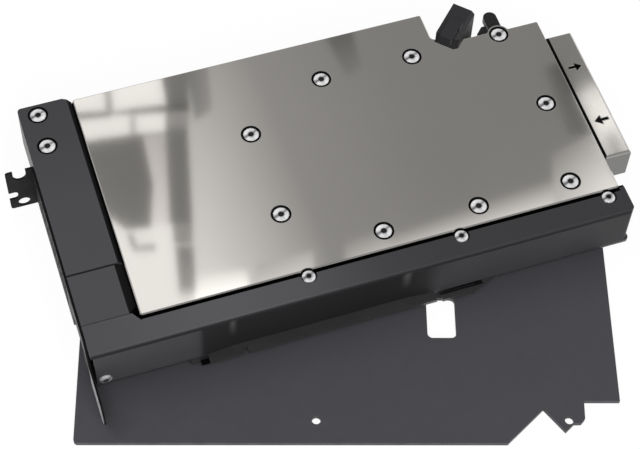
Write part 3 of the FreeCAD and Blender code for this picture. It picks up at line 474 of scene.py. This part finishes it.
def circuit_board(name):
    """Black solder mask with faint copper traces under it, with painted shadow beside the hook."""
    look = Finish(name, (0.026, 0.026, 0.027), 0.45)
    look.set("Coat Weight", 0.25)
    look.set("Coat Roughness", 0.2)
    mapping = look.add("ShaderNodeMapping")
    mapping.inputs["Scale"].default_value = (1, 1, 0.01)
    look.join(look.place, mapping.inputs["Vector"])
    tracks = look.add("ShaderNodeTexBrick", offset=0.37, squash=0.6, squash_frequency=3)
    tracks.inputs["Scale"].default_value = 420
    tracks.inputs["Mortar Size"].default_value = 0.06
    tracks.inputs["Brick Width"].default_value = 3.4
    tracks.inputs["Row Height"].default_value = 0.32
    look.join(mapping.outputs["Vector"], tracks.inputs["Vector"])
    spread = look.noise(90, detail=2)
    chosen = look.add("ShaderNodeMath", operation="MULTIPLY")
    look.join(tracks.outputs["Fac"], chosen.inputs[0])
    look.join(look.span(spread, 0, 1, 0.45, 0.55), chosen.inputs[1])
    base = look.tint(look.noise(300, detail=3), 0.12)
    tracked = look.paint(base, chosen.outputs["Value"], TRACK_COLOUR)
    painted_shadow_by_hook = look.both(
        look.along("X", [(112.9, 0.0), (113.1, 1.0), (132.4, 1.0), (132.6, 0.0)]),
        look.along("Y", [(-13.9, 0.0), (-13.8, 1.0), (-11.0, 1.0), (-10.9, 0.0)]))
    look.paint(tracked, painted_shadow_by_hook, SHADOW_BLACK)
    look.relief(chosen.outputs["Value"], 0.00003, 0.5)
    return look


board_mask = circuit_board("board_mask")

NODE_LOOKS = {
    "cover_plate": plate_nickel, "terminal_block": block_nickel, "cold_plate": base_nickel,
    "left_cover_upper": cover_black, "left_cover_lower": cover_black,
    "bottom_cover": bent_black, "backplate": back_grey, "io_bracket": bracket_black,
    "connector_arm": arm_black, "power_connector": header_black, "board": board_mask,
    "chamber_gasket": gasket_rubber, "terminal_gasket": gasket_rubber, "jet_plate": steel,
    "cover_plate_screws": screw_dark, "left_cover_screws": screw_dark,
    "terminal_screws": screw_dark, "edge_screws": screw_dark, "side_screw": screw_dark,
    "cover_posts": spacer_metal, "standoffs": spacer_metal, "board_screws": screw_dark,
    "bracket_screws": screw_dark, "gpu_substrate": package_green, "gpu_die": die_silicon,
    "thermal_paste": paste_grey, "memory_chips": chip_black, "memory_pads": pad_grey,
    "power_stages": chip_black, "stage_pads": pad_grey, "chokes": choke_grey,
    "choke_pads": pad_grey, "capacitors": can_metal, "rear_capacitors": ceramic_tan,
    "connector_contacts": contact_tin, "edge_contacts": contact_gold,
}
for node_name, look in NODE_LOOKS.items():
    if node_name in nodes:
        nodes[node_name].data.materials.clear()
        nodes[node_name].data.materials.append(look.material)

# The photo's plate shows no image of the header and its arm
for name in ("power_connector", "connector_arm", "connector_contacts"):
    bpy.data.objects[name].visible_glossy = False


# Fine pieces


def settle(name, mesh, look, stands_for=(), smooth=True):
    """Object from a finished bmesh, riding on the block."""
    bmesh.ops.remove_doubles(mesh, verts=mesh.verts, dist=0.000001)
    bmesh.ops.recalc_face_normals(mesh, faces=mesh.faces)
    for face in mesh.faces:
        face.smooth = smooth
    data = bpy.data.meshes.new(name)
    mesh.to_mesh(data)
    mesh.free()
    data.materials.append(look.material)
    piece = bpy.data.objects.new(name, data)
    bpy.context.scene.collection.objects.link(piece)
    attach(piece, "root")
    if stands_for:
        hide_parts(*stands_for)
    return piece


def ring_profile(mesh, rings, hexagon_from, flats):
    """Closed turned shape about Z from (radius, height) rings; the later ones are hexagonal."""
    first_radius, first_height = rings[0]
    start = bmesh.ops.create_circle(mesh, cap_ends=True, radius=first_radius,
                                    segments=TURNED_SIDES,
                                    matrix=Matrix.Translation((0, 0, first_height)))
    loop = start["verts"]
    edges = [edge for edge in mesh.edges if edge.verts[0] in loop and edge.verts[1] in loop]
    for index, (radius, height) in enumerate(rings[1:], start=1):
        grown = bmesh.ops.extrude_edge_only(mesh, edges=edges)["geom"]
        loop = [item for item in grown if isinstance(item, bmesh.types.BMVert)]
        edges = [item for item in grown if isinstance(item, bmesh.types.BMEdge)]
        for vert in loop:
            angle = math.atan2(vert.co.y, vert.co.x)
            reach = radius
            if index >= hexagon_from:
                side = (angle + math.pi / 6) % (math.pi / 3) - math.pi / 6
                reach = min(radius, flats / 2 / math.cos(side))
            vert.co = (reach * math.cos(angle), reach * math.sin(angle), height)
    mesh.faces.new(loop)


def polar_map(mesh):
    """UV map whose U runs round a piece that stands on the Z axis."""
    layer = mesh.loops.layers.uv.new("round")
    for face in mesh.faces:
        middle = face.calc_center_median()
        facing = math.atan2(middle.y, middle.x)
        for loop in face.loops:
            place = loop.vert.co
            turn = math.atan2(place.y, place.x) - facing
            turn = (turn + math.pi) % (2 * math.pi) - math.pi
            loop[layer].uv = ((facing + turn) / (2 * math.pi), place.xy.length * UV_PER_METRE)


def domed_heads(name, places, look, stands_for, slot, radius, height, dome, shank, length,
                stand=Matrix.Identity(3), socket=1.9, socket_depth=1.2):
    """Domed screws with a hexagon socket, each turned to its own angle."""
    crown = height - dome
    socket_wall = socket * 0.56
    rings = [(shank * 0.6, -length), (shank, -length + 0.4), (shank, -0.05),
             (radius - RIM_BREAK, 0.0), (radius, RIM_BREAK), (radius, crown - 0.1),
             (radius - 0.06, crown)]
    for step in range(1, DOME_STEPS + 1):
        lean = DOME_ANGLE * step / DOME_STEPS
        reach = radius * (1 - DOME_SHRINK * math.sin(lean) ** 2 / math.sin(DOME_ANGLE) ** 2)
        rings.append((reach, crown + dome * math.sin(lean) / math.sin(DOME_ANGLE)))
    socket_start = len(rings)
    rings += [(socket * 0.58, height - SOCKET_DROP), (socket_wall, height - 0.2),
              (socket_wall, height - socket_depth), (0.5, height - socket_depth - 0.15)]
    whole = bmesh.new()
    whole.loops.layers.uv.new("round")
    for index, place in enumerate(places):
        one = bmesh.new()
        ring_profile(one, [(r * MM, z * MM) for r, z in rings], socket_start, socket * MM)
        bmesh.ops.rotate(one, verts=one.verts, cent=(0, 0, 0),
                         matrix=Matrix.Rotation(FIRST_TURN + index * TURN_BETWEEN, 3, "Z"))
        for face in one.faces:
            middle = face.calc_center_median()
            in_socket = middle.xy.length < socket * 0.6 * MM and middle.z > 0
            if in_socket:
                face.material_index = 1
        polar_map(one)
        bmesh.ops.rotate(one, verts=one.verts, cent=(0, 0, 0), matrix=stand)
        bmesh.ops.translate(one, verts=one.verts, vec=place)
        data = bpy.data.meshes.new("one_screw")
        one.to_mesh(data)
        one.free()
        whole.from_mesh(data)
        bpy.data.meshes.remove(data)
    heads = settle(name, whole, look, stands_for)
    heads.data.materials.append(socket_painted_shade.material)
    return heads


def black_rings(name, places):
    """Black rings that fill the gap between a screw head and its counterbore."""
    whole = bmesh.new()
    for x, y in places:
        made = bmesh.ops.create_circle(whole, cap_ends=False, radius=RING_OUTER * MM,
                                       segments=TURNED_SIDES)
        first = list({edge for vert in made["verts"] for edge in vert.link_edges})
        edges = first
        verts = list(made["verts"])
        for radius, height in ((RING_OUTER, RING_TOP - RING_EDGE),
                               (RING_OUTER - RING_EDGE, RING_TOP),
                               (RING_INNER, RING_TOP - RING_LIP), (RING_INNER, SCREW_SEAT)):
            grown = bmesh.ops.extrude_edge_only(whole, edges=edges)["geom"]
            loop = [item for item in grown if isinstance(item, bmesh.types.BMVert)]
            edges = [item for item in grown if isinstance(item, bmesh.types.BMEdge)]
            for vert in loop:
                angle = math.atan2(vert.co.y, vert.co.x)
                vert.co = (radius * MM * math.cos(angle), radius * MM * math.sin(angle),
                           (height - SCREW_SEAT) * MM)
            verts += loop
        bmesh.ops.bridge_loops(whole, edges=first + edges)
        bmesh.ops.translate(whole, verts=verts, vec=spot(x, y, SCREW_SEAT))
    return settle(name, whole, ring_and_gap_shadow_black)


def upright(points):
    """Places of the screws that stand on the recesses' floor."""
    return [spot(x, y, SCREW_SEAT) for x, y in points]


# Screws of the plate, the long left cover and the bottom cover
domed_heads("plate_screws_turned", upright(PLATE_SCREWS), screw_bright, ["cover_plate_screws"],
            "bright_screw", length=8.8, **RECESSED_HEAD)
black_rings("plate_screw_rings", PLATE_SCREWS)
domed_heads("cover_screws_turned", upright(LEFT_COVER_SCREWS), screw_bright,
            ["left_cover_screws"], "bright_screw", length=5.0, **RECESSED_HEAD)
black_rings("cover_screw_rings", LEFT_COVER_SCREWS)
domed_heads("edge_screws_turned", upright(EDGE_SCREWS), screw_bright, ["edge_screws"],
            "bright_screw", **EDGE_HEAD)

# Screw in the bent cover's front wall, its head flush with the wall
side_low, side_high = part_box("side_screw")
side_seat = Vector(((side_low.x + side_high.x) / 2, side_high.y, (side_low.z + side_high.z) / 2))
domed_heads("side_screw_turned", [side_seat], screw_dim, ["side_screw"], "dark_screw",
            stand=Matrix.Rotation(math.pi / 2, 3, "X"), **SIDE_HEAD)

# Screws of the port block
end_low, end_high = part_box("terminal_screws")
end_seats = [Vector((end_low.x, plate_corner.y + y * MM, (end_low.z + end_high.z) / 2))
             for y in TERMINAL_SCREWS]
domed_heads("port_block_screws_turned", end_seats, screw_bright, ["terminal_screws"],
            "bright_screw", stand=Matrix.Rotation(math.pi / 2, 3, "Y"), **PORT_BLOCK_HEAD)


def block_between(mesh, low, high, edge):
    """Block between two corners in millimetres off the plate's corner, with broken edges."""
    start, end = spot(*low), spot(*high)
    middle = (start + end) / 2
    size = end - start
    frame_of_block = Matrix.Translation(middle) @ Matrix.Diagonal((*size, 1))
    made = bmesh.ops.create_cube(mesh, size=1, matrix=frame_of_block)
    edges = list({line for vert in made["verts"] for line in vert.link_edges})
    bmesh.ops.bevel(mesh, geom=edges, offset=edge * MM, segments=2, profile=0.5, affect="EDGES",
                    material=-1)


# Black blocks in the gaps round the plate and between the left covers, standing in for shadow:
# each block's two corners and its broken edge
block_start = (block_low.y - plate_corner.y) / MM
block_end = (block_high.y - plate_corner.y) / MM
GAP_SHADOW_BLOCKS = [
    ((-0.4, -1.75, -2.95), (192.0, -0.1, -2.3), 0.12),
    ((190.6, -1.7, -2.95), (192.9, -0.04, -0.5), 0.05),
    ((191.75, -0.6, -2.4), (193.9, 0.55, -0.22), 0.05),
    ((-0.42, 2.5, -2.95), (-0.05, 102.4, -1.0), 0.05),
    ((192.32, block_start + 0.3, -2.9), (block_left + 0.05, block_end - 0.1, -0.35), 0.02),
    ((-21.8, 23.8, -5.5), (-2.2, 24.54, -1.3), 0.05),
]
gap = bmesh.new()
for low_corner, high_corner, broken_edge in GAP_SHADOW_BLOCKS:
    block_between(gap, low_corner, high_corner, broken_edge)
settle("edge_gap_seal", gap, ring_and_gap_shadow_black, smooth=False)

# Black block between the board's shoulder and its slot tongue, standing in for shadow
slot_shadow = bmesh.new()
slot_shadow_low = (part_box("board")[0].z - plate_corner.z) / MM
block_between(slot_shadow, (18.6, -15.2, slot_shadow_low + 0.1), (21.7, -13.2, slot_shadow_low + 1.2), 0.15)
settle("slot_end_stop", slot_shadow, ring_and_gap_shadow_black, smooth=False)


def port_threads(name, places):
    """Pipe threads in the mouths of the two ports, as one turned ridge that runs in."""
    middle_z = (block_low.z + block_high.z) / 2
    first_x = block_high.x - (THREAD_TURNS * THREAD_PITCH + THREAD_SETBACK) * MM
    whole = bmesh.new()
    for y in places:
        start = Vector((first_x, plate_corner.y + y * MM, middle_z))
        verts = [whole.verts.new(start + Vector((x * MM, 0, r * MM))) for x, r in THREAD_PROFILE]
        edges = [whole.edges.new(pair) for pair in zip(verts, verts[1:])]
        bmesh.ops.spin(whole, geom=verts + edges, cent=start, axis=(1, 0, 0),
                       dvec=(THREAD_PITCH * MM / THREAD_STEPS, 0, 0),
                       angle=2 * math.pi * THREAD_TURNS, steps=THREAD_STEPS * THREAD_TURNS,
                       use_merge=False)
    return settle(name, whole, block_nickel)


port_threads("port_threads", PORTS)


def contact_row(name):
    """Single gold contacts on the underside of the slot tongue."""
    low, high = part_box("edge_contacts")
    whole = bmesh.new()
    x, y_low, z_low = [(place - origin) / MM for place, origin in zip(low, plate_corner)]
    last, y_high, z_high = [(place - origin) / MM for place, origin in zip(high, plate_corner)]
    while x + CONTACT_WIDTH <= last:
        if x + CONTACT_WIDTH < KEY_START or x > KEY_END:
            block_between(whole, (x, y_low, z_low), (x + CONTACT_WIDTH, y_high, z_high),
                          CONTACT_EDGE)
        x += CONTACT_PITCH
    return settle(name, whole, contact_gold, ["edge_contacts"], smooth=False)


contact_row("gold_contacts")


# Studio

CARD_LIGHT = (1.0, 0.985, 0.965)
CARD_PINK = (1.0, 0.955, 0.94)


def card(name, height, corners, tint=CARD_LIGHT):
    """Glowing panel that the plate shows between (x, y, strength) corners, seen by gloss alone."""
    mesh = bmesh.new()
    glow_layer = mesh.verts.layers.float.new("glow")
    for x, y, strength in corners:
        seen = Vector((x, y))
        moved = seen + (seen - CAMERA_PLACE.xy) * height / CAMERA_PLACE.z
        vert = mesh.verts.new(spot(moved.x, moved.y, height))
        vert[glow_layer] = strength
    mesh.faces.new(mesh.verts)
    if len(corners) == 4:
        bmesh.ops.subdivide_edges(mesh, edges=mesh.edges, cuts=6, use_grid_fill=True)
    data = bpy.data.meshes.new(name)
    mesh.to_mesh(data)
    mesh.free()
    glow = bpy.data.materials.new(name)
    glow.use_nodes = True
    tree = glow.node_tree
    tree.nodes.clear()
    light = tree.nodes.new("ShaderNodeEmission")
    light.inputs["Color"].default_value = (*tint, 1)
    level = tree.nodes.new("ShaderNodeAttribute")
    level.attribute_name = "glow"
    out = tree.nodes.new("ShaderNodeOutputMaterial")
    tree.links.new(level.outputs["Fac"], light.inputs["Strength"])
    tree.links.new(light.outputs["Emission"], out.inputs["Surface"])
    data.materials.append(glow)
    panel = bpy.data.objects.new(name, data)
    bpy.context.scene.collection.objects.link(panel)
    panel.visible_camera = False
    panel.visible_diffuse = False
    panel.visible_shadow = False
    panel.visible_transmission = False
    return panel


# Camera, in millimetres from the plate's corner
CAMERA_PLACE = Vector((-57.31, -334.38, 590.11))
CAMERA_RIGHT = Vector((0.94935, -0.31305, 0.02694))
CAMERA_UP = Vector((0.25034, 0.8054, 0.53727))
CAMERA_LENS = 103.295
SENSOR_WIDTH = 36

camera_data = bpy.data.cameras.new("camera")
camera_data.lens = CAMERA_LENS
camera_data.sensor_width = SENSOR_WIDTH
camera_data.sensor_fit = "HORIZONTAL"
camera_data.clip_start = 0.01
camera_data.clip_end = 50
camera = bpy.data.objects.new("camera", camera_data)
bpy.context.scene.collection.objects.link(camera)
back = CAMERA_RIGHT.cross(CAMERA_UP)
turn = Matrix((CAMERA_RIGHT, CAMERA_UP, back)).transposed().to_4x4()
camera.matrix_world = Matrix.Translation(spot(*CAMERA_PLACE)) @ turn
bpy.context.scene.camera = camera

# What the polished metal shows: a bright window with a pane and bars, then the dim room. Each row
# is a panel's name, its height, its corners and sometimes a tint of its own
CARDS = [
    ("window", 620, [(-60, 112, 1.35), (41, 110, 1.4), (12, -12, 1.3), (-90, -12, 1.2)]),
    ("right_glow", 622, [(40, 110, 0.7), (74, 112, 0.42), (74, -12, 0.42), (12, -12, 1.35)]),
    ("room", 622, [(74, 112, 0.42), (125, 112, 0.33), (125, -12, 0.33), (74, -12, 0.4)]),
    ("room_beyond", 622, [(125, 112, 0.33), (216, 112, 0.31), (216, -12, 0.31), (125, -12, 0.33)]),
    ("pane", 612, [(-8, 82.9, 0.26), (22.3, 79.1, 0.23), (19.9, 54.7, 0.24), (13.8, 35.8, 0.27),
                   (4.6, 37.4, 0.4), (-8, 56, 0.3)]),
    ("strip_by_pane", 614, [(22.1, 78, 0.85), (31.5, 76, 0.65), (21.8, 34.5, 1.1),
                            (13.8, 36.5, 1.2)], CARD_PINK),
    ("strip_head", 613, [(22.5, 79, 0.5), (33, 77, 0.5), (32, 73.5, 0.7), (22.2, 75.5, 0.7)]),
    ("tall_bar_head", 600, [(38, 112, 0.3), (49.5, 112, 0.3), (43, 84.3, 0.24),
                            (34.6, 86.8, 0.24)]),
    ("tall_bar_gap", 600, [(34, 87, 0.5), (43, 84.3, 0.5), (39.8, 75.7, 0.38), (31.4, 78, 0.38)]),
    ("tall_bar", 600, [(31.4, 78, 0.27), (39.8, 75.7, 0.22), (29.5, 33.1, 0.24),
                       (21.2, 35.3, 0.27)]),
    ("tall_bar_join", 600, [(22, 35.1, 0.45), (29.5, 33.1, 0.4), (26.8, 24, 0.36),
                            (20.2, 26, 0.4)]),
    ("tall_bar_foot", 600, [(20.4, 25, 0.3), (27, 23, 0.3), (22.6, 5.6, 0.4), (16.8, 7.4, 0.42)]),
    ("tall_bar_end", 600, [(16.8, 7.4, 0.42), (22.6, 5.6, 0.4), (21.2, 1.5, 1.1),
                           (15.6, 3.1, 1.1)]),
    ("cross_bar_left", 598, [(-8, 98, 0.22), (13.2, 93.2, 0.22), (12.5, 90.3, 0.22),
                             (-8, 94, 0.22)]),
    ("cross_bar", 598, [(13, 93, 0.6), (21, 91.8, 0.3), (20.4, 89.2, 0.3), (12.6, 90.7, 0.6)]),
    ("cross_bar_right", 598, [(20.9, 92, 0.28), (43.8, 88, 0.12), (43, 84, 0.12),
                              (20.2, 89, 0.28)]),
    ("thin_bar", 597, [(13.7, 106, 0.62), (16.5, 106, 0.62), (14, 92, 0.5), (11.2, 92.3, 0.5)]),
    ("thin_bar_low", 597, [(19.6, 88.2, 0.65), (22, 87.8, 0.65), (19.8, 79, 0.75),
                           (17.4, 79.2, 0.75)]),
    ("short_bar", 599, [(48.4, 112, 0.27), (58, 112, 0.38), (51.5, 82, 0.42), (43.8, 79, 0.34)]),
    ("small_cross", 596, [(4.2, 35.5, 0.6), (6.8, 35.2, 0.6), (6.8, 29.6, 0.5), (4.4, 29.8, 0.5)]),
    ("small_cross_foot", 596, [(4.8, 30, 0.6), (13.4, 28.2, 0.42), (12.6, 25.2, 0.5),
                               (4.5, 27.4, 0.65)]),
    ("white_patch", 594, [(24.3, 10.5, 1.2), (43, 7, 1.2), (41, -8, 2.4), (18, -8, 2.4)]),
    ("patch_beside", 594, [(47.5, 8, 0.62), (69.5, 7.5, 0.72), (65, -8, 1.25), (42, -8, 1.25)]),
    ("second_patch", 594, [(82, 8, 0.4), (100, 7.5, 0.5), (97, -8, 1.15), (78, -8, 1.0)]),
    ("low_glow", 594, [(98, 6, 0.33), (178, 11.5, 0.36), (184, -8, 1.7), (94, -8, 1.35)]),
    ("corner_glow", 592, [(172.5, 22, 0.38), (193, 27, 0.5), (193, -8, 1.6), (162, -8, 0.95)]),
    ("smudge", 591, [(185.5, 63, 0.27), (193, 63, 0.11), (193, 27, 0.13), (182.5, 28, 0.25)]),
    ("top_smudge", 591, [(106, 106, 0.17), (118, 106, 0.17), (115, 84, 0.3), (108, 82, 0.3)]),
    ("port_block_glow", 590, [(193.2, 47, 1.5), (216, 52, 1.1), (216, 12, 1.4), (193.2, 15, 1.9)]),
    ("port_block_spot", 588, [(196.2, 26, 0.4), (201.5, 24.5, 0.25), (201, 14, 0.2),
                              (195, 15.5, 0.25)]),
]
for row in CARDS:
    card(*row)

# Floor that stays white and keeps a soft shadow
FLOOR_REACH = 6.0
FLOOR_GLOW = 0.93
floor_mesh = bmesh.new()
bmesh.ops.create_grid(floor_mesh, x_segments=1, y_segments=1, size=FLOOR_REACH,
                      matrix=Matrix.Translation((0, 0, floor_level)))
floor_data = bpy.data.meshes.new("floor")
floor_mesh.to_mesh(floor_data)
floor_mesh.free()
floor = bpy.data.objects.new("floor", floor_data)
bpy.context.scene.collection.objects.link(floor)
floor_look = bpy.data.materials.new("floor_white")
floor_look.use_nodes = True
tree = floor_look.node_tree
tree.nodes.clear()
paper = tree.nodes.new("ShaderNodeBsdfDiffuse")
paper.inputs["Color"].default_value = (0.9, 0.9, 0.9, 1)
white = tree.nodes.new("ShaderNodeEmission")
path = tree.nodes.new("ShaderNodeLightPath")
seen = tree.nodes.new("ShaderNodeMath")
seen.operation = "MAXIMUM"
share = tree.nodes.new("ShaderNodeMath")
share.operation = "MULTIPLY"
share.inputs[1].default_value = FLOOR_GLOW
mixed = tree.nodes.new("ShaderNodeMixShader")
out = tree.nodes.new("ShaderNodeOutputMaterial")
tree.links.new(path.outputs["Is Camera Ray"], seen.inputs[0])
tree.links.new(path.outputs["Is Glossy Ray"], seen.inputs[1])
tree.links.new(seen.outputs["Value"], share.inputs[0])
tree.links.new(share.outputs["Value"], mixed.inputs["Fac"])
tree.links.new(paper.outputs["BSDF"], mixed.inputs[1])
tree.links.new(white.outputs["Emission"], mixed.inputs[2])
tree.links.new(mixed.outputs["Shader"], out.inputs["Surface"])
floor_data.materials.append(floor_look)

# World: white behind the object, dimmer overhead than at the horizon for what lights it
HORIZON_LIGHT = 0.85
OVERHEAD_LIGHT = 0.27
world = bpy.data.worlds.new("studio")
bpy.context.scene.world = world
world.use_nodes = True
tree = world.node_tree
tree.nodes.clear()
around = tree.nodes.new("ShaderNodeTexCoord")
split = tree.nodes.new("ShaderNodeSeparateXYZ")
level = tree.nodes.new("ShaderNodeMapRange")
level.inputs["From Min"].default_value = 0.15
level.inputs["From Max"].default_value = 0.75
level.inputs["To Min"].default_value = HORIZON_LIGHT
level.inputs["To Max"].default_value = OVERHEAD_LIGHT
dim = tree.nodes.new("ShaderNodeBackground")
bright = tree.nodes.new("ShaderNodeBackground")
path = tree.nodes.new("ShaderNodeLightPath")
mixed = tree.nodes.new("ShaderNodeMixShader")
out = tree.nodes.new("ShaderNodeOutputWorld")
tree.links.new(around.outputs["Generated"], split.inputs["Vector"])
tree.links.new(split.outputs["Z"], level.inputs["Value"])
tree.links.new(level.outputs["Result"], dim.inputs["Strength"])
tree.links.new(path.outputs["Is Camera Ray"], mixed.inputs["Fac"])
tree.links.new(dim.outputs["Background"], mixed.inputs[1])
tree.links.new(bright.outputs["Background"], mixed.inputs[2])
tree.links.new(mixed.outputs["Shader"], out.inputs["Surface"])


LAMP_TARGET = Vector((0, 0, 0.02))


def soft_lamp(name, place, power, size):
    """Square lamp aimed at the middle of the block."""
    data = bpy.data.lights.new(name, "AREA")
    data.energy = power
    data.size = size
    lamp = bpy.data.objects.new(name, data)
    bpy.context.scene.collection.objects.link(lamp)
    lamp.location = place
    aim = LAMP_TARGET - Vector(place)
    lamp.rotation_euler = aim.to_track_quat("-Z", "Y").to_euler()
    lamp.visible_glossy = False
    return lamp


soft_lamp("key_lamp", (-1.0, 0.5, 1.8), power=14, size=1.4)
soft_lamp("front_lamp", (-0.1, -1.3, 1.4), power=40, size=1.5)

bpy.context.scene.view_settings.view_transform = "Standard"
